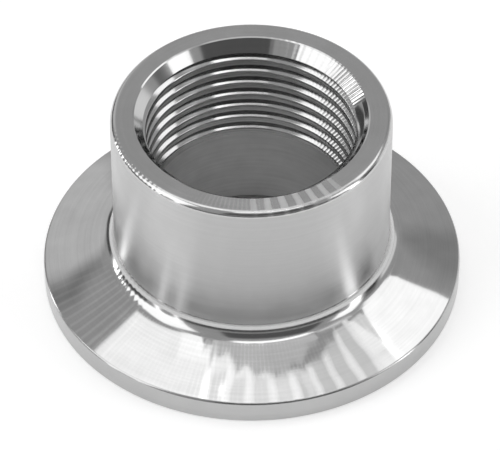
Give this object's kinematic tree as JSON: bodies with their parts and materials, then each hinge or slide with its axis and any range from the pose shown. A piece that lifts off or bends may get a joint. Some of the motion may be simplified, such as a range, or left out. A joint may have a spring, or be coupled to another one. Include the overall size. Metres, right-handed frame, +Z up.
{
  "type": "sanitary clamp ferrule with female taper pipe thread",
  "caption": "Turned stainless clamp ferrule: a coned flange with a gasket groove, and a round hub bored through and tapped with a taper pipe thread.",
  "frame": {"origin": "centre of the flange face that the gasket lies on", "axes": "+Z up the bore, from the flange face to the threaded mouth; the thread's phase is set about +X"},
  "size_m": [0.0505, 0.0504, 0.0254],
  "materials": {
    "turned_stainless": "bright turned stainless with fine tool marks"
  },
  "bodies": {
    "root": {"ferrule": "turned_stainless"}
  },
  "joints": []
}
